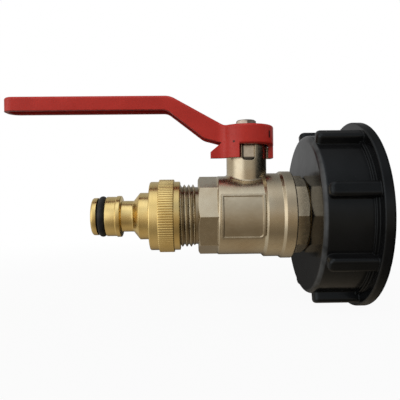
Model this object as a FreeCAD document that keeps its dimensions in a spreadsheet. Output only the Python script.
"""Quarter-turn ball valve with a coupling nut for a liquid container and a hose nipple.

Frame: the origin is the centre of the coupling nut's mouth, +X runs out of the mouth
along the flow axis, +Z runs up the stem, and the lever points to -X with the valve open.
All sizes are millimetres.
"""
import FreeCAD, Part
import Sketcher
import math
import os

doc = FreeCAD.newDocument("ball_valve_adapter")

# Driving sizes. Radii and lengths are millimetres, angles are degrees.
SIZES = (
    # coupling nut
    ("cap_depth", 23.6),
    ("cap_face_thickness", 4.2),
    ("cap_wall_radius", 33.2),
    ("cap_thread_radius", 30.0),
    ("cap_chamber_radius", 27.4),
    ("cap_flange_lip", 1.3),
    ("cap_flange_thickness", 4.1),
    ("cap_collar_height", 1.1),
    ("cap_collar_width", 1.3),
    ("cap_edge_round", 2.0),
    ("cap_rib_count", 8),
    ("cap_rib_height", 4.0),
    ("cap_rib_width", 5.7),
    ("cap_rib_round", 1.5),
    ("cap_rib_nose_round", 2.2),
    ("cap_rib_setback", 1.4),
    ("cap_rib_phase", 73.2),
    ("swivel_gap", 0.3),
    # flanged spigot through the coupling nut, and its seals
    ("spigot_shank_radius", 14.5),
    ("spigot_thread_radius", 13.15),
    ("spigot_flange_radius", 27.0),
    ("spigot_flange_thickness", 2.9),
    ("spigot_bore_radius", 9.5),
    ("spigot_key_flats", 20.0),
    ("spigot_key_depth", 5.0),
    ("spigot_washer_thickness", 1.5),
    ("gasket_thickness", 3.0),
    ("gasket_bore_radius", 17.0),
    # cast body, measured along the flow axis from the ball's centre
    ("barrel_front", 13.2),
    ("middle_band_start", 5.6),
    ("rear_band_start", 12.7),
    ("rear_face", 18.1),
    ("barrel_radius", 16.6),
    ("middle_band_radius", 17.65),
    ("rear_band_radius", 18.4),
    ("band_bevel", 1.1),
    ("octagon_flats", 30.4),
    ("front_octagon_length", 7.6),
    ("rear_octagon_length", 5.4),
    ("octagon_bevel", 0.7),
    ("male_thread_length", 13.2),
    ("male_thread_shown", 7.5),
    ("male_thread_root_radius", 12.1),
    ("female_thread_radius", 13.22),
    ("thread_chamfer", 0.8),
    ("passage_radius", 8.0),
    # neck, stop lug and gland pocket
    ("neck_radius", 8.45),
    ("neck_top", 30.5),
    ("neck_root_round", 1.0),
    ("collar_bore_radius", 6.3),
    ("guide_start", 16.4),
    ("guide_end", 19.0),
    ("gland_bore_radius", 6.0),
    ("gland_pocket_radius", 7.1),
    ("gland_pocket_floor", 22.8),
    ("notch_width", 5.4),
    ("notch_round", 1.6),
    ("lug_reach", 10.9),
    ("lug_width", 2.6),
    ("lug_bottom", 24.0),
    ("lug_top", 28.8),
    ("stop_gap", 0.1),
    # ball, seats and the joint of the screwed body end
    ("ball_radius", 12.2),
    ("port_radius", 7.5),
    ("cavity_radius", 13.0),
    ("cavity_reach", 6.2),
    ("seat_back", 11.6),
    ("seat_radius", 11.8),
    ("seat_bore_radius", 7.7),
    ("seat_lip_radius", 10.6),
    ("running_gap", 0.05),
    ("joint_seal_thickness", 0.8),
    ("insert_radius", 15.55),
    ("insert_web", 1.8),
    # stem and what seals and clamps it
    ("stem_radius", 4.4),
    ("stem_collar_radius", 6.0),
    ("stem_collar_bottom", 12.9),
    ("tang_bottom", 9.6),
    ("tang_thickness", 4.1),
    ("tang_length", 10.4),
    ("slot_floor", 9.4),
    ("thrust_washer_thickness", 0.8),
    ("ring_groove_bottom", 17.0),
    ("ring_groove_width", 1.3),
    ("ring_section_radius", 0.5),
    ("packing_height", 2.4),
    ("gland_hex_bottom", 23.6),
    ("gland_hex_flats", 11.6),
    ("gland_top", 31.0),
    ("stem_flats", 6.2),
    ("stem_flats_top", 35.3),
    ("stem_screw_radius", 2.5),
    ("stem_top", 39.9),
    # lever
    ("lever_length", 101.5),
    ("lever_half_width", 5.6),
    ("lever_end_round", 4.2),
    ("grip_top", 50.1),
    ("grip_bottom", 44.2),
    ("grip_bend", 32.1),
    ("grip_bend_round", 8.0),
    ("arm_foot", 9.6),
    ("arm_foot_round", 4.0),
    ("under_bend", 33.4),
    ("under_bend_round", 5.0),
    ("under_foot", 18.0),
    ("under_foot_height", 32.25),
    ("under_foot_round", 6.0),
    ("throat", 10.8),
    ("throat_height", 30.3),
    ("beak_reach", 15.4),
    ("beak_height", 26.5),
    ("skirt_bottom", 23.85),
    ("skirt_edge", 3.9),
    ("skirt_tail", 7.4),
    ("skirt_near_wall", 3.6),
    ("hub_foot_round", 1.0),
    ("tab_width", 5.0),
    ("hub_radius", 11.5),
    ("hub_blend", 5.0),
    ("hub_bottom", 29.3),
    ("hub_top", 37.5),
    ("lever_edge_round", 1.0),
    ("hub_floor", 33.2),
    ("lever_side_wall", 1.9),
    ("lever_top_wall", 2.2),
    ("recess_floor", 35.4),
    ("recess_radius", 5.4),
    ("lever_washer_thickness", 0.8),
    ("lever_washer_radius", 4.5),
    ("lever_nut_flats", 8.0),
    ("lever_nut_height", 4.0),
    ("lever_nut_bevel", 0.7),
    # hose nipple, measured along the flow axis from its open threaded end
    ("nut_end_band", 2.5),
    ("nut_grip_band", 6.3),
    ("nut_front_band", 3.9),
    ("nut_radius", 14.5),
    ("nut_grip_radius", 15.4),
    ("nipple_collar_radius", 9.9),
    ("nipple_collar_length", 4.3),
    ("nipple_cone_length", 2.7),
    ("nipple_neck_radius", 6.55),
    ("nipple_neck_length", 4.8),
    ("nipple_shoulder_radius", 8.7),
    ("nipple_shoulder_length", 2.4),
    ("nipple_barrel_radius", 8.35),
    ("nipple_barrel_length", 4.1),
    ("nipple_groove_width", 3.55),
    ("nipple_lip_radius", 7.9),
    ("nipple_lip_length", 2.35),
    ("nipple_bevel", 0.7),
    ("nipple_bore_radius", 4.6),
    ("nipple_ring_radius", 8.6),
    ("nipple_ring_section", 1.5),
    ("hose_washer_thickness", 2.0),
    ("hose_washer_bore_radius", 8.0),
    # general clearances
    ("seat_clearance", 0.05),
    ("screw_clearance", 0.05),
)

dim = doc.addObject("Spreadsheet::Sheet", "dim")
for row, (alias, value) in enumerate(SIZES, start=1):
    dim.set("A%d" % row, alias)
    dim.set("B%d" % row, str(value))
    dim.setAlias("B%d" % row, alias)
doc.recompute()


def number(expression):
    """Value of an expression that uses the sheet's sizes."""
    return float(dim.evalExpression(expression))


def place_rules(geometry, position, x, y):
    """Constraints that hold one sketch point at the expressions x and y."""
    rules = []
    if x == "0":
        rules.append((Sketcher.Constraint("PointOnObject", geometry, position, -2), None))
    else:
        rules.append((Sketcher.Constraint("DistanceX", -1, 1, geometry, position, number(x)), x))
    if y == "0":
        rules.append((Sketcher.Constraint("PointOnObject", geometry, position, -1), None))
    else:
        rules.append((Sketcher.Constraint("DistanceY", -1, 1, geometry, position, number(y)), y))
    return rules


def add_rules(sketch, rules):
    """Add constraints and bind each one that has an expression."""
    first = sketch.ConstraintCount
    sketch.addConstraint([rule for rule, expression in rules])
    for offset, (rule, expression) in enumerate(rules):
        if expression is not None:
            sketch.setExpression("Constraints[%d]" % (first + offset), expression)


def outline(sketch, corners):
    """Closed outline through corners (x, y) or (x, y, round), all given as expressions."""
    points = [FreeCAD.Vector(number(corner[0]), number(corner[1]), 0) for corner in corners]
    count = len(points)
    arcs = {}
    arrive = list(points)
    leave = list(points)
    for i, corner in enumerate(corners):
        if len(corner) == 2:
            continue
        radius = number(corner[2])
        back = (points[i - 1] - points[i]).normalize()
        ahead = (points[(i + 1) % count] - points[i]).normalize()
        half = back.getAngle(ahead) / 2
        arrive[i] = points[i] + back * (radius / math.tan(half))
        leave[i] = points[i] + ahead * (radius / math.tan(half))
        middle = points[i] + (back + ahead).normalize() * (radius / math.sin(half) - radius)
        arcs[i] = (Part.Arc(arrive[i], middle, leave[i]), back.cross(ahead).z < 0)
    lines = [
        sketch.addGeometry(Part.LineSegment(leave[i], arrive[(i + 1) % count]), False)
        for i in range(count)
    ]
    rules = []
    for i, corner in enumerate(corners):
        before = lines[i - 1]
        after = lines[i]
        if i not in arcs:
            rules.append((Sketcher.Constraint("Coincident", before, 2, after, 1), None))
            rules += place_rules(after, 1, corner[0], corner[1])
            continue
        arc, turns_left = arcs[i]
        bend = sketch.addGeometry(arc, False)
        start, end = (1, 2) if turns_left else (2, 1)
        mark = sketch.addGeometry(Part.Point(points[i]), True)
        rules.append((Sketcher.Constraint("Tangent", before, 2, bend, start), None))
        rules.append((Sketcher.Constraint("Tangent", bend, end, after, 1), None))
        rules.append((Sketcher.Constraint("Radius", bend, number(corner[2])), corner[2]))
        rules.append((Sketcher.Constraint("PointOnObject", mark, 1, before), None))
        rules.append((Sketcher.Constraint("PointOnObject", mark, 1, after), None))
        rules += place_rules(mark, 1, corner[0], corner[1])
    add_rules(sketch, rules)


def circle(sketch, radius, x="0", y="0"):
    """Circle of the given radius with its centre at x, y."""
    centre = FreeCAD.Vector(number(x), number(y), 0)
    axis = FreeCAD.Vector(0, 0, 1)
    ring = sketch.addGeometry(Part.Circle(centre, axis, number(radius)), False)
    rules = place_rules(ring, 3, x, y)
    rules.append((Sketcher.Constraint("Radius", ring, number(radius)), radius))
    add_rules(sketch, rules)


def polygon(sketch, sides, flats, first_corner):
    """Regular polygon about the sketch's origin, given its size across flats."""
    corner_radius = "%s / (2 * cos(%s deg))" % (flats, 180 / sides)
    corners = []
    for k in range(sides):
        angle = first_corner + k * 360 / sides
        corners.append((
            "%s * cos(%s deg)" % (corner_radius, angle),
            "%s * sin(%s deg)" % (corner_radius, angle),
        ))
    outline(sketch, corners)


def new_body(label, x=None, turn=None):
    """Body with its own label, set at x along the flow axis and turned about it."""
    body = doc.addObject("PartDesign::Body", label)
    body.Label = label
    if turn is not None:
        body.Placement = FreeCAD.Placement(
            FreeCAD.Vector(), FreeCAD.Rotation(FreeCAD.Vector(1, 0, 0), 1))
        body.setExpression("Placement.Rotation.Angle", turn)
    if x is not None:
        body.setExpression("Placement.Base.x", x)
    return body


def origin_feature(body, role):
    """One of the body's own origin planes or axes."""
    return [feature for feature in body.Origin.OriginFeatures if feature.Role == role][0]


def new_sketch(body, plane, name, offset=None):
    """Sketch on one of the body's origin planes, moved along the plane's normal."""
    sketch = body.newObject("Sketcher::SketchObject", body.Label + "_" + name)
    sketch.AttachmentSupport = [(origin_feature(body, plane), "")]
    sketch.MapMode = "FlatFace"
    if offset is not None:
        sketch.setExpression("AttachmentOffset.Base.z", offset)
    return sketch


def revolve(body, kind, name, corners, axis="H_Axis"):
    """Turned form from a profile in the XZ plane: H_Axis is the flow axis, V_Axis the stem."""
    sketch = new_sketch(body, "XZ_Plane", name + "_profile")
    outline(sketch, corners)
    feature = body.newObject("PartDesign::" + kind, body.Label + "_" + name)
    feature.Profile = sketch
    feature.ReferenceAxis = (sketch, [axis])
    feature.Angle = 360
    doc.recompute()
    return feature


def extrude(body, kind, name, sketch, length, reverse=False, both_sides=False):
    """Pad or pocket of a sketch, from its plane or to both sides of it."""
    feature = body.newObject("PartDesign::" + kind, body.Label + "_" + name)
    feature.Profile = sketch
    feature.setExpression("Length", length)
    feature.Reversed = reverse
    if both_sides:
        feature.SideType = "Symmetric"
    doc.recompute()
    return feature


def round_edges(body, name, radius, chosen):
    """Fillet the edges of the body's tip that the test picks."""
    base = body.Tip
    edges = [
        "Edge%d" % (index + 1)
        for index, edge in enumerate(base.Shape.Edges) if chosen(edge)
    ]
    feature = body.newObject("PartDesign::Fillet", body.Label + "_" + name)
    feature.Base = (base, edges)
    feature.setExpression("Radius", radius)
    doc.recompute()
    return feature


def ring(label, x, left, right, inner, outer):
    """Plain turned ring about the flow axis."""
    body = new_body(label, x)
    revolve(body, "Revolution", "ring", [
        (left, inner), (left, outer), (right, outer), (right, inner)])
    return body


def torus(body, plane, centre_radius, section_radius, offset):
    """Round-section ring about the plane's normal."""
    feature = body.newObject("PartDesign::AdditiveTorus", body.Label + "_torus")
    feature.AttachmentSupport = [(origin_feature(body, plane), "")]
    feature.MapMode = "FlatFace"
    feature.setExpression("Radius1", centre_radius)
    feature.setExpression("Radius2", section_radius)
    feature.setExpression("AttachmentOffset.Base.z", offset)
    doc.recompute()
    return feature


# Places along the flow axis, as expressions.
VALVE_X = "-(dim.cap_depth + dim.swivel_gap + dim.rear_octagon_length + dim.rear_face)"
VALVE_END = "(dim.rear_face + dim.rear_octagon_length)"
MALE_START = "(-dim.barrel_front - dim.front_octagon_length)"
MALE_END = "(%s - dim.male_thread_length)" % MALE_START
NIPPLE_X = "%s + %s - dim.male_thread_shown" % (VALVE_X, MALE_START)
INSERT_NOSE = "(dim.cavity_reach + dim.joint_seal_thickness)"
SEAT_POCKET = "(dim.seat_radius + dim.seat_clearance)"
WEB_END = "(dim.seat_back + dim.insert_web)"
GUIDE_BORE = "(dim.stem_radius + dim.running_gap)"
LUG_FAR = "(dim.skirt_edge - dim.stop_gap)"
LUG_NEAR = "(%s - dim.lug_width)" % LUG_FAR
CAP_INNER_FACE = "(-dim.cap_depth + dim.cap_face_thickness)"
FLANGE_FACE = "(%s + dim.spigot_flange_thickness)" % CAP_INNER_FACE
GASKET_FACE = "(%s + dim.gasket_thickness)" % FLANGE_FACE


def make_valve_body():
    """Cast brass body: octagon, barrel with two wider bands, neck, stop lug, male thread."""
    body = new_body("valve_body", VALVE_X)
    revolve(body, "Revolution", "outside", [
        (MALE_END, "0"),
        (MALE_END, "dim.male_thread_root_radius - dim.thread_chamfer"),
        (MALE_END + " + dim.thread_chamfer", "dim.male_thread_root_radius"),
        ("-dim.barrel_front", "dim.male_thread_root_radius"),
        ("-dim.barrel_front", "dim.barrel_radius", "dim.band_bevel"),
        ("dim.rear_face", "dim.barrel_radius"),
        ("dim.rear_face", "0"),
    ])
    revolve(body, "Revolution", "neck", [
        ("0", "0"),
        ("dim.neck_radius", "0"),
        ("dim.neck_radius", "dim.neck_top", "dim.notch_round / 4"),
        ("0", "dim.neck_top"),
    ], "V_Axis")
    round_edges(body, "neck_root", "dim.neck_root_round", is_neck_root)
    revolve(body, "Revolution", "bands", [
        ("dim.middle_band_start", "dim.cavity_radius"),
        ("dim.middle_band_start - dim.band_bevel", "2 * dim.barrel_radius - dim.middle_band_radius"),
        ("dim.middle_band_start + dim.band_bevel", "dim.middle_band_radius"),
        ("dim.rear_band_start", "dim.middle_band_radius"),
        ("dim.rear_band_start + dim.band_bevel", "dim.rear_band_radius"),
        ("dim.rear_face", "dim.rear_band_radius", "dim.band_bevel / 2"),
        ("dim.rear_face", "dim.cavity_radius"),
    ])
    octagon = new_sketch(body, "YZ_Plane", "octagon_outline", MALE_START)
    polygon(octagon, 8, "dim.octagon_flats", 0)
    extrude(body, "Pad", "octagon", octagon, "dim.front_octagon_length + dim.band_bevel")
    bevel_octagon(body, MALE_START, "+")
    lug = new_sketch(body, "XY_Plane", "lug_outline", "dim.lug_bottom")
    outline(lug, [
        ("dim.gland_pocket_radius", LUG_NEAR),
        ("dim.lug_reach", LUG_NEAR),
        ("dim.lug_reach", LUG_FAR),
        ("dim.gland_pocket_radius", LUG_FAR),
    ])
    extrude(body, "Pad", "lug", lug, "dim.lug_top - dim.lug_bottom")
    revolve(body, "Groove", "waterway", [
        (MALE_END + " - 1", "0"),
        (MALE_END + " - 1", "dim.passage_radius"),
        ("-dim.seat_back", "dim.passage_radius"),
        ("-dim.seat_back", SEAT_POCKET),
        ("-dim.cavity_reach", SEAT_POCKET),
        ("-dim.cavity_reach", "dim.cavity_radius"),
        ("dim.cavity_reach", "dim.cavity_radius"),
        ("dim.cavity_reach", "dim.insert_radius + dim.screw_clearance"),
        ("dim.rear_face + 1", "dim.insert_radius + dim.screw_clearance"),
        ("dim.rear_face + 1", "0"),
    ])
    revolve(body, "Groove", "stem_bore", [
        ("0", "dim.slot_floor"),
        ("dim.collar_bore_radius", "dim.slot_floor"),
        ("dim.collar_bore_radius", "dim.guide_start"),
        (GUIDE_BORE, "dim.guide_start"),
        (GUIDE_BORE, "dim.guide_end"),
        ("dim.gland_bore_radius", "dim.guide_end"),
        ("dim.gland_bore_radius", "dim.gland_pocket_floor"),
        ("dim.gland_pocket_radius", "dim.gland_pocket_floor"),
        ("dim.gland_pocket_radius", "dim.neck_top + 1"),
        ("0", "dim.neck_top + 1"),
    ], "V_Axis")
    notch = new_sketch(body, "XZ_Plane", "notch_outline")
    outline(notch, [
        ("-dim.notch_width / 2", "dim.gland_pocket_floor", "dim.notch_round"),
        ("dim.notch_width / 2", "dim.gland_pocket_floor", "dim.notch_round"),
        ("dim.notch_width / 2", "dim.neck_top + 1"),
        ("-dim.notch_width / 2", "dim.neck_top + 1"),
    ])
    extrude(body, "Pocket", "notch", notch, "dim.neck_radius + 1", reverse=True)
    return body


def is_neck_root(edge):
    """Curved edge where the round neck meets the barrel."""
    box = edge.BoundBox
    barrel = number("dim.barrel_radius")
    neck = number("dim.neck_radius")
    low = math.sqrt(barrel * barrel - neck * neck)
    return box.ZMin > low - 0.01 and box.ZMax < barrel + 0.01 and box.YLength > neck / 2


def bevel_octagon(body, face, inward):
    """Turned bevel on the octagon's corners at one face; inward is the sign along the axis."""
    corner_radius = "dim.octagon_flats / (2 * cos(22.5 deg))"
    revolve(body, "Groove", "octagon_bevel", [
        (face, "dim.octagon_flats / 2"),
        ("%s %s dim.octagon_bevel" % (face, inward), corner_radius),
        ("%s %s dim.octagon_bevel" % (face, inward), corner_radius + " + 2"),
        (face, corner_radius + " + 2"),
    ])


def make_body_end():
    """Screwed end piece: seat pocket, web, female thread and outer octagon."""
    body = new_body("body_end", VALVE_X)
    revolve(body, "Revolution", "insert", [
        (INSERT_NOSE, "0"),
        (INSERT_NOSE, "dim.insert_radius"),
        ("dim.rear_face", "dim.insert_radius"),
        ("dim.rear_face", "0"),
    ])
    octagon = new_sketch(body, "YZ_Plane", "octagon_outline", "dim.rear_face")
    polygon(octagon, 8, "dim.octagon_flats", 0)
    extrude(body, "Pad", "octagon", octagon, "dim.rear_octagon_length")
    bevel_octagon(body, VALVE_END, "-")
    revolve(body, "Groove", "bore", [
        (INSERT_NOSE + " - 1", "0"),
        (INSERT_NOSE + " - 1", SEAT_POCKET),
        ("dim.seat_back", SEAT_POCKET),
        ("dim.seat_back", "dim.passage_radius"),
        (WEB_END, "dim.passage_radius"),
        (WEB_END, "dim.female_thread_radius"),
        (VALVE_END + " + 1", "dim.female_thread_radius"),
        (VALVE_END + " + 1", "0"),
    ])
    return body


def make_seat(label, side):
    """Seat ring with a cone that just clears the ball; side is the sign of its place."""
    body = new_body(label, VALVE_X)
    cone = "(dim.ball_radius + dim.running_gap) * sqrt(2)"
    corners = [
        ("dim.seat_back", "dim.seat_bore_radius"),
        ("dim.seat_back", "dim.seat_radius"),
        (cone + " - dim.seat_lip_radius", "dim.seat_radius"),
        (cone + " - dim.seat_lip_radius", "dim.seat_lip_radius"),
        (cone + " - dim.seat_bore_radius", "dim.seat_bore_radius"),
    ]
    revolve(body, "Revolution", "ring", [("%s(%s)" % (side, x), y) for x, y in corners])
    return body


def make_ball():
    """Ball with a through port and a slot across its top for the stem's tang."""
    body = new_body("ball", VALVE_X)
    ball = body.newObject("PartDesign::AdditiveSphere", "ball_sphere")
    ball.setExpression("Radius", "dim.ball_radius")
    doc.recompute()
    port = new_sketch(body, "YZ_Plane", "port_outline")
    circle(port, "dim.port_radius")
    extrude(body, "Pocket", "port", port, "2 * dim.ball_radius + 2", both_sides=True)
    slot = new_sketch(body, "XZ_Plane", "slot_outline")
    half = "(dim.tang_thickness / 2 + dim.running_gap)"
    outline(slot, [
        ("-" + half, "dim.slot_floor"),
        (half, "dim.slot_floor"),
        (half, "dim.ball_radius + 1"),
        ("-" + half, "dim.ball_radius + 1"),
    ])
    extrude(body, "Pocket", "slot", slot, "2 * dim.ball_radius + 2", both_sides=True)
    return body


def make_stem():
    """Stem put in from inside: tang, collar, ring groove, flats for the lever, screw end."""
    body = new_body("stem", VALVE_X)
    groove = "(dim.stem_radius + dim.running_gap - 2 * dim.ring_section_radius - dim.seat_clearance)"
    collar_top = "(dim.guide_start - dim.thrust_washer_thickness)"
    revolve(body, "Revolution", "turned", [
        ("0", "dim.stem_collar_bottom"),
        ("dim.stem_collar_radius", "dim.stem_collar_bottom"),
        ("dim.stem_collar_radius", collar_top),
        ("dim.stem_radius", collar_top),
        ("dim.stem_radius", "dim.ring_groove_bottom"),
        (groove, "dim.ring_groove_bottom"),
        (groove, "dim.ring_groove_bottom + dim.ring_groove_width"),
        ("dim.stem_radius", "dim.ring_groove_bottom + dim.ring_groove_width"),
        ("dim.stem_radius", "dim.stem_flats_top"),
        ("dim.stem_screw_radius", "dim.stem_flats_top"),
        ("dim.stem_screw_radius", "dim.stem_top", "dim.stem_screw_radius / 4"),
        ("0", "dim.stem_top"),
    ], "V_Axis")
    tang = new_sketch(body, "XY_Plane", "tang_outline", "dim.tang_bottom")
    outline(tang, [
        ("-dim.tang_thickness / 2", "-dim.tang_length / 2"),
        ("dim.tang_thickness / 2", "-dim.tang_length / 2"),
        ("dim.tang_thickness / 2", "dim.tang_length / 2"),
        ("-dim.tang_thickness / 2", "dim.tang_length / 2"),
    ])
    extrude(body, "Pad", "tang", tang, "dim.stem_collar_bottom - dim.tang_bottom")
    flats = new_sketch(body, "XY_Plane", "flats_outline", "dim.hub_floor")
    outline(flats, [
        ("-dim.stem_radius - 1", "-dim.stem_radius - 1"),
        ("dim.stem_radius + 1", "-dim.stem_radius - 1"),
        ("dim.stem_radius + 1", "dim.stem_radius + 1"),
        ("-dim.stem_radius - 1", "dim.stem_radius + 1"),
    ])
    outline(flats, [
        ("-dim.stem_radius - 0.5", "-dim.stem_flats / 2"),
        ("dim.stem_radius + 0.5", "-dim.stem_flats / 2"),
        ("dim.stem_radius + 0.5", "dim.stem_flats / 2"),
        ("-dim.stem_radius - 0.5", "dim.stem_flats / 2"),
    ])
    extrude(body, "Pocket", "flats", flats, "dim.stem_top - dim.hub_floor", reverse=True)
    return body


def make_stem_rings():
    """Thrust washer, ring in the stem's groove, packing and gland nut."""
    washer = new_body("stem_thrust_washer", VALVE_X)
    revolve(washer, "Revolution", "ring", [
        (GUIDE_BORE, "dim.guide_start - dim.thrust_washer_thickness"),
        ("dim.collar_bore_radius - dim.seat_clearance",
         "dim.guide_start - dim.thrust_washer_thickness"),
        ("dim.collar_bore_radius - dim.seat_clearance", "dim.guide_start"),
        (GUIDE_BORE, "dim.guide_start"),
    ], "V_Axis")
    o_ring = new_body("stem_o_ring", VALVE_X)
    torus(o_ring, "XY_Plane",
          "%s - dim.ring_section_radius - dim.seat_clearance / 2" % GUIDE_BORE,
          "dim.ring_section_radius", "dim.ring_groove_bottom + dim.ring_groove_width / 2")
    packing = new_body("stem_packing", VALVE_X)
    revolve(packing, "Revolution", "ring", [
        (GUIDE_BORE, "dim.guide_end"),
        ("dim.gland_bore_radius - dim.seat_clearance", "dim.guide_end"),
        ("dim.gland_bore_radius - dim.seat_clearance", "dim.guide_end + dim.packing_height"),
        (GUIDE_BORE, "dim.guide_end + dim.packing_height"),
    ], "V_Axis")
    gland = new_body("gland_nut", VALVE_X)
    revolve(gland, "Revolution", "screw", [
        ("0", "dim.guide_end + dim.packing_height"),
        ("dim.gland_bore_radius - dim.screw_clearance", "dim.guide_end + dim.packing_height"),
        ("dim.gland_bore_radius - dim.screw_clearance", "dim.gland_hex_bottom"),
        ("0", "dim.gland_hex_bottom"),
    ], "V_Axis")
    hexagon = new_sketch(gland, "XY_Plane", "hexagon_outline", "dim.gland_hex_bottom")
    polygon(hexagon, 6, "dim.gland_hex_flats", 0)
    extrude(gland, "Pad", "hexagon", hexagon, "dim.gland_top - dim.gland_hex_bottom")
    bore = new_sketch(gland, "XY_Plane", "bore_outline", "dim.guide_end")
    circle(bore, GUIDE_BORE)
    extrude(gland, "Pocket", "bore", bore, "dim.gland_top - dim.guide_end + 1", reverse=True)
    return [washer, o_ring, packing, gland]


def lever_form(label, x, inset, side_corners):
    """Arm and round hub seen from above, cut to a side outline; inset thins it all round."""
    body = new_body(label, x)
    tall = "dim.grip_top + 1"
    arm = new_sketch(body, "XY_Plane", "arm_plan")
    half_width = "(dim.lever_half_width - %s)" % inset
    end = "(-dim.lever_length + %s)" % inset
    outline(arm, [
        (end, "-" + half_width, "dim.lever_end_round - %s" % inset),
        ("0", "-" + half_width),
        ("0", half_width),
        (end, half_width, "dim.lever_end_round - %s" % inset),
    ])
    extrude(body, "Pad", "arm", arm, tall)
    hub = new_sketch(body, "XY_Plane", "hub_plan")
    circle(hub, "dim.hub_radius - %s" % inset)
    extrude(body, "Pad", "hub", hub, tall)
    hub_radius = number("dim.hub_radius - %s" % inset)
    half = number(half_width)

    def is_hub_joint(edge):
        point = edge.Vertexes[0].Point
        upright = edge.BoundBox.XLength < 0.001 and edge.BoundBox.YLength < 0.001
        on_hub = abs(math.hypot(point.x, point.y) - hub_radius) < 0.001
        return upright and on_hub and abs(abs(point.y) - half) < 0.001 and point.x < 0

    round_edges(body, "blend", "dim.hub_blend + %s" % inset, is_hub_joint)
    side = new_sketch(body, "XZ_Plane", "side_outline")
    outline(side, [
        ("-dim.lever_length - 5", "-5"),
        ("dim.hub_radius + 5", "-5"),
        ("dim.hub_radius + 5", "dim.grip_top + 5"),
        ("-dim.lever_length - 5", "dim.grip_top + 5"),
    ])
    outline(side, side_corners)
    extrude(body, "Pocket", "side", side, "2 * dim.hub_radius + 2", both_sides=True)
    return body


def make_lever():
    """Cast lever: flat grip, cranked arm, round hub, hollow below, skirt and stop tab."""
    core = lever_form("lever_core", None, "dim.lever_side_wall", [
        ("-dim.lever_length - 1", "1"),
        ("-dim.lever_length - 1", "dim.grip_top - dim.lever_top_wall"),
        ("-dim.grip_bend", "dim.grip_top - dim.lever_top_wall", "dim.grip_bend_round"),
        ("-dim.arm_foot + dim.lever_top_wall / 2", "dim.hub_floor"),
        ("dim.hub_radius + 1", "dim.hub_floor"),
        ("dim.hub_radius + 1", "1"),
    ])
    lever = lever_form("lever", VALVE_X, "0", [
        ("-dim.lever_length", "dim.grip_bottom"),
        ("-dim.lever_length", "dim.grip_top"),
        ("-dim.grip_bend", "dim.grip_top", "dim.grip_bend_round"),
        ("-dim.arm_foot", "dim.hub_top", "dim.arm_foot_round"),
        ("dim.hub_radius", "dim.hub_top"),
        ("dim.hub_radius", "dim.skirt_bottom"),
        ("-dim.beak_reach", "dim.skirt_bottom"),
        ("-dim.beak_reach", "dim.beak_height"),
        ("-dim.throat", "dim.throat_height"),
        ("-dim.under_foot", "dim.under_foot_height", "dim.under_foot_round"),
        ("-dim.under_bend", "dim.grip_bottom", "dim.under_bend_round"),
    ])
    round_edges(lever, "upper_rim", "dim.lever_edge_round", is_lever_rim)
    skirt = new_sketch(lever, "XY_Plane", "skirt_cut")
    far = "(dim.hub_radius + 1)"
    tab_far = "(%s - dim.stop_gap)" % LUG_NEAR
    tab_near = "(%s - dim.tab_width)" % tab_far
    outline(skirt, [
        ("-dim.skirt_edge", "-" + far),
        (far, "-" + far),
        (far, far),
        ("-dim.skirt_edge", far),
    ])
    outline(skirt, [
        ("dim.hub_radius / 2", tab_near),
        ("dim.lug_reach", tab_near),
        ("dim.lug_reach", tab_far),
        ("dim.hub_radius / 2", tab_far),
    ])
    outline(skirt, [
        ("-dim.beak_reach - 1", "-dim.skirt_near_wall"),
        ("-dim.skirt_tail", "-dim.skirt_near_wall"),
        ("-dim.skirt_tail", far),
        ("-dim.beak_reach - 1", far),
    ])
    extrude(lever, "Pocket", "skirt", skirt, "dim.hub_bottom", reverse=True)

    def is_hub_foot(edge):
        box = edge.BoundBox
        level = number("dim.hub_bottom")
        at_foot = box.ZMax < level + 0.01 and box.ZMin > level - 0.01
        return at_foot and box.YMax < number(tab_near) + 0.01 and box.XMax > 0

    round_edges(lever, "hub_foot", "dim.hub_foot_round", is_hub_foot)
    hollow = lever.newObject("PartDesign::Boolean", "lever_hollow")
    hollow.addObject(core)
    hollow.Type = "Cut"
    doc.recompute()
    recess = new_sketch(lever, "XY_Plane", "recess_outline", "dim.recess_floor")
    circle(recess, "dim.recess_radius")
    extrude(lever, "Pocket", "recess", recess, "dim.hub_top - dim.recess_floor + 1", reverse=True)
    eye = new_sketch(lever, "XY_Plane", "eye_outline", "dim.hub_floor")
    half_flats = "(dim.stem_flats / 2 + dim.running_gap)"
    half_round = "(dim.stem_radius + dim.running_gap)"
    double_flat(eye, half_round, half_flats)
    extrude(lever, "Pocket", "eye", eye, "dim.hub_top - dim.hub_floor", reverse=True)
    return lever


def is_lever_rim(edge):
    """Edge along the top of the side walls, or across the top of the tip."""
    slope = number("(dim.grip_top - dim.hub_top) / (dim.grip_bend - dim.arm_foot)")
    full_rise = number("dim.grip_top - dim.hub_top")
    for vertex in edge.Vertexes:
        rise = slope * (-vertex.X - number("dim.arm_foot"))
        top = number("dim.hub_top") + min(max(rise, 0), full_rise)
        if vertex.Z < top - number("dim.lever_edge_round"):
            return False
    at_tip = edge.BoundBox.XMax < number("-dim.lever_length") + 0.01
    return at_tip or edge.BoundBox.XLength > 0.001


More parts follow.
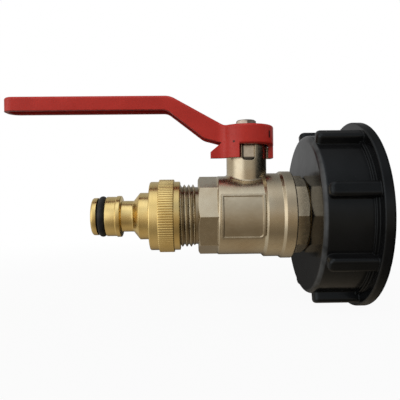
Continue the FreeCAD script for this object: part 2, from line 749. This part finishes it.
def double_flat(sketch, radius, half_flats):
    """Round hole with two flats facing the Y axis."""
    r = number(radius)
    across = number(half_flats)
    reach = math.sqrt(r * r - across * across)
    start = math.atan2(across, reach)
    axis = FreeCAD.Vector(0, 0, 1)
    whole = Part.Circle(FreeCAD.Vector(), axis, r)
    right = sketch.addGeometry(Part.ArcOfCircle(whole, -start, start), False)
    left = sketch.addGeometry(
        Part.ArcOfCircle(whole, math.pi - start, math.pi + start), False)
    top = sketch.addGeometry(Part.LineSegment(
        FreeCAD.Vector(reach, across, 0), FreeCAD.Vector(-reach, across, 0)), False)
    bottom = sketch.addGeometry(Part.LineSegment(
        FreeCAD.Vector(-reach, -across, 0), FreeCAD.Vector(reach, -across, 0)), False)
    add_rules(sketch, [
        (Sketcher.Constraint("Coincident", right, 3, -1, 1), None),
        (Sketcher.Constraint("Coincident", left, 3, -1, 1), None),
        (Sketcher.Constraint("Coincident", right, 2, top, 1), None),
        (Sketcher.Constraint("Coincident", top, 2, left, 1), None),
        (Sketcher.Constraint("Coincident", left, 2, bottom, 1), None),
        (Sketcher.Constraint("Coincident", bottom, 2, right, 1), None),
        (Sketcher.Constraint("Horizontal", top), None),
        (Sketcher.Constraint("Horizontal", bottom), None),
        (Sketcher.Constraint("Radius", right, r), radius),
        (Sketcher.Constraint("Equal", right, left), None),
        (Sketcher.Constraint("DistanceY", -1, 1, right, 2, across), half_flats),
        (Sketcher.Constraint("DistanceY", right, 1, -1, 1, across), half_flats),
    ])


def make_lever_fasteners():
    """Washer and hexagon nut that hold the lever on the stem."""
    washer = new_body("lever_washer", VALVE_X)
    hole = "(dim.stem_screw_radius + dim.seat_clearance)"
    top = "(dim.recess_floor + dim.lever_washer_thickness)"
    revolve(washer, "Revolution", "ring", [
        (hole, "dim.recess_floor"),
        ("dim.lever_washer_radius", "dim.recess_floor"),
        ("dim.lever_washer_radius", top),
        (hole, top),
    ], "V_Axis")
    nut = new_body("lever_nut", VALVE_X)
    hexagon = new_sketch(nut, "XY_Plane", "hexagon_outline", top)
    polygon(hexagon, 6, "dim.lever_nut_flats", 30)
    extrude(nut, "Pad", "hexagon", hexagon, "dim.lever_nut_height")
    corner_radius = "dim.lever_nut_flats / (2 * cos(30 deg))"
    nut_top = "(%s + dim.lever_nut_height)" % top
    revolve(nut, "Groove", "bevel", [
        ("dim.lever_nut_flats / 2 - dim.lever_nut_bevel / 2", nut_top),
        (corner_radius, nut_top + " - dim.lever_nut_bevel"),
        (corner_radius + " + 1", nut_top + " - dim.lever_nut_bevel"),
        (corner_radius + " + 1", nut_top + " + 1"),
        ("dim.lever_nut_flats / 2 - dim.lever_nut_bevel / 2", nut_top + " + 1"),
    ], "V_Axis")
    bore = new_sketch(nut, "XY_Plane", "bore_outline", "dim.recess_floor")
    circle(bore, "dim.stem_screw_radius + dim.screw_clearance")
    extrude(nut, "Pocket", "bore", bore, "dim.lever_nut_height + 2", reverse=True)
    return [washer, nut]


def make_spigot():
    """Flanged spigot: screws into the body end and carries the coupling nut."""
    body = new_body("spigot")
    shoulder = "(-dim.cap_depth - dim.swivel_gap)"
    thread_end = "(%s + %s + dim.spigot_washer_thickness)" % (VALVE_X, WEB_END)
    revolve(body, "Revolution", "turned", [
        (thread_end, "dim.spigot_bore_radius"),
        (thread_end, "dim.spigot_thread_radius - dim.thread_chamfer"),
        (thread_end + " + dim.thread_chamfer", "dim.spigot_thread_radius"),
        (shoulder, "dim.spigot_thread_radius"),
        (shoulder, "dim.spigot_shank_radius"),
        (CAP_INNER_FACE, "dim.spigot_shank_radius"),
        (CAP_INNER_FACE, "dim.spigot_flange_radius"),
        (FLANGE_FACE, "dim.spigot_flange_radius"),
        (FLANGE_FACE, "dim.spigot_bore_radius"),
    ])
    key = new_sketch(body, "YZ_Plane", "key_outline", FLANGE_FACE)
    polygon(key, 6, "dim.spigot_key_flats", 30)
    extrude(body, "Pocket", "key", key, "dim.spigot_key_depth")
    return body


RIB_TOP = "(dim.cap_wall_radius + dim.cap_rib_height)"
FLANGE_RADIUS = "(%s + dim.cap_flange_lip)" % RIB_TOP


def make_tank_cap():
    """Ribbed coupling nut: flange at the mouth, collar, eight grip ribs, swivel hole."""
    body = new_body("tank_cap", turn="dim.cap_rib_phase")
    hole = "dim.spigot_shank_radius + dim.swivel_gap"
    flange_back = "-dim.cap_flange_thickness"
    collar_back = "-(dim.cap_flange_thickness + dim.cap_collar_width)"
    revolve(body, "Revolution", "turned", [
        ("-dim.cap_depth", hole),
        ("-dim.cap_depth", "dim.cap_wall_radius", "dim.cap_edge_round"),
        (collar_back, "dim.cap_wall_radius"),
        (collar_back, "dim.cap_wall_radius + dim.cap_collar_height"),
        (flange_back, "dim.cap_wall_radius + dim.cap_collar_height"),
        (flange_back, FLANGE_RADIUS, "dim.cap_edge_round / 4"),
        ("0", FLANGE_RADIUS, "dim.cap_edge_round / 2"),
        ("0", "dim.cap_thread_radius"),
        (GASKET_FACE, "dim.cap_thread_radius"),
        (GASKET_FACE, "dim.cap_chamber_radius"),
        (CAP_INNER_FACE, "dim.cap_chamber_radius"),
        (CAP_INNER_FACE, hole),
    ])
    root = "(dim.cap_wall_radius + dim.cap_thread_radius) / 2"
    nose = "(dim.cap_rib_setback - dim.cap_depth)"
    plan = new_sketch(body, "XY_Plane", "rib_plan", root)
    outline(plan, [
        (flange_back, "-dim.cap_rib_width / 2"),
        (flange_back, "dim.cap_rib_width / 2"),
        (nose, "dim.cap_rib_width / 2", "dim.cap_rib_nose_round"),
        (nose, "-dim.cap_rib_width / 2", "dim.cap_rib_nose_round"),
    ])
    rib = extrude(body, "Pad", "rib", plan, "%s - %s" % (RIB_TOP, root))
    pattern = body.newObject("PartDesign::PolarPattern", "tank_cap_ribs")
    pattern.Originals = [rib]
    pattern.Axis = (origin_feature(body, "X_Axis"), [""])
    pattern.Angle = 360
    pattern.setExpression("Occurrences", "dim.cap_rib_count")
    body.Tip = pattern
    doc.recompute()
    round_edges(body, "rib_rims", "dim.cap_rib_round", is_rib_rim)
    return body


def is_rib_rim(edge):
    """Edge of a rib's flat top, other than where the rib ends on the flange."""
    radii = [math.hypot(vertex.Y, vertex.Z) for vertex in edge.Vertexes]
    top = number(RIB_TOP)
    corner = math.hypot(top, number("dim.cap_rib_width") / 2)
    on_top = min(radii) > top - 0.01 and max(radii) < corner + 0.01
    return on_top and edge.BoundBox.XMin < number("-dim.cap_flange_thickness") - 0.01


def make_tap_connector():
    """One turned brass piece: union nut part with a female thread, and a hose nipple."""
    body = new_body("tap_connector", NIPPLE_X)
    grip_start = "(-dim.nut_end_band)"
    grip_end = "(%s - dim.nut_grip_band)" % grip_start
    front = "(%s - dim.nut_front_band)" % grip_end
    collar = "(%s - dim.nipple_collar_length)" % front
    neck = "(%s - dim.nipple_cone_length)" % collar
    neck_end = "(%s - dim.nipple_neck_length)" % neck
    shoulder = "(%s - dim.nipple_shoulder_length)" % neck_end
    groove = "(%s - dim.nipple_barrel_length)" % shoulder
    groove_end = "(%s - dim.nipple_groove_width)" % groove
    tip = "(%s - dim.nipple_lip_length)" % groove_end
    ring_centre = "(dim.nipple_ring_radius - dim.nipple_ring_section)"
    groove_floor = "(%s - dim.nipple_ring_section - dim.seat_clearance)" % ring_centre
    shelf = "(dim.male_thread_shown - dim.male_thread_length - dim.hose_washer_thickness)"
    bevel = "dim.nipple_bevel"
    revolve(body, "Revolution", "turned", [
        ("0", "dim.female_thread_radius + dim.screw_clearance"),
        ("0", "dim.nut_radius - %s / 2" % bevel),
        ("-%s / 2" % bevel, "dim.nut_radius"),
        (grip_start, "dim.nut_radius"),
        (grip_start, "dim.nut_grip_radius"),
        (grip_end, "dim.nut_grip_radius"),
        (grip_end, "dim.nut_radius"),
        (front + " + " + bevel, "dim.nut_radius"),
        (front, "dim.nut_radius - " + bevel),
        (front, "dim.nipple_collar_radius"),
        (collar, "dim.nipple_collar_radius"),
        (neck, "dim.nipple_neck_radius"),
        (neck_end, "dim.nipple_neck_radius"),
        (neck_end + " - " + bevel, "dim.nipple_shoulder_radius"),
        (neck_end + " - 2 * " + bevel, "dim.nipple_shoulder_radius"),
        (shoulder, "dim.nipple_barrel_radius"),
        (groove, "dim.nipple_barrel_radius"),
        (groove, groove_floor),
        (groove_end, groove_floor),
        (groove_end, "dim.nipple_lip_radius"),
        (tip + " + " + bevel, "dim.nipple_lip_radius"),
        (tip, "dim.nipple_lip_radius - " + bevel),
        (tip, "dim.nipple_bore_radius + " + bevel),
        (tip + " + " + bevel, "dim.nipple_bore_radius"),
        (shelf, "dim.nipple_bore_radius"),
        (shelf, "dim.female_thread_radius + dim.screw_clearance"),
    ])
    o_ring = new_body("nipple_o_ring", NIPPLE_X)
    torus(o_ring, "YZ_Plane", ring_centre, "dim.nipple_ring_section",
          "%s - dim.nipple_groove_width / 2" % groove)
    return [body, o_ring]


def make_seals():
    """Flat seals: at the hose end, in the body joint, behind the spigot and to the tank."""
    washer = ring(
        "connector_washer", "%s + %s" % (VALVE_X, MALE_END),
        "-dim.hose_washer_thickness", "0",
        "dim.hose_washer_bore_radius", "dim.female_thread_radius - dim.seat_clearance")
    joint = ring(
        "body_joint_seal", VALVE_X, "dim.cavity_reach", INSERT_NOSE,
        "dim.cavity_radius + dim.seat_clearance", "dim.insert_radius - dim.seat_clearance")
    spigot_washer = ring(
        "spigot_washer", VALVE_X, WEB_END, "%s + dim.spigot_washer_thickness" % WEB_END,
        "dim.spigot_bore_radius", "dim.female_thread_radius - dim.seat_clearance")
    gasket = ring(
        "tank_gasket", None, FLANGE_FACE, GASKET_FACE,
        "dim.gasket_bore_radius", "dim.spigot_flange_radius")
    return [washer, joint, spigot_washer, gasket]


nodes = [
    make_valve_body(),
    make_body_end(),
    make_seat("seat_outlet", "-"),
    make_seat("seat_tank_side", ""),
    make_ball(),
    make_stem(),
    make_lever(),
    make_spigot(),
    make_tank_cap(),
]
nodes += make_stem_rings()
nodes += make_lever_fasteners()
nodes += make_tap_connector()
nodes += make_seals()
doc.recompute()

for thing in doc.Objects:
    if "Invalid" in thing.State or "Error" in thing.State:
        raise RuntimeError("%s did not build: %s" % (thing.Name, thing.State))
for node in nodes:
    if node.Shape.isNull() or not node.Shape.isValid() or len(node.Shape.Solids) != 1:
        raise RuntimeError("%s is not one valid solid" % node.Label)

os.makedirs("parts", exist_ok=True)
for node in nodes:
    node.Shape.exportStep("parts/%s.step" % node.Label)
    print(node.Label, round(node.Shape.Volume, 2))
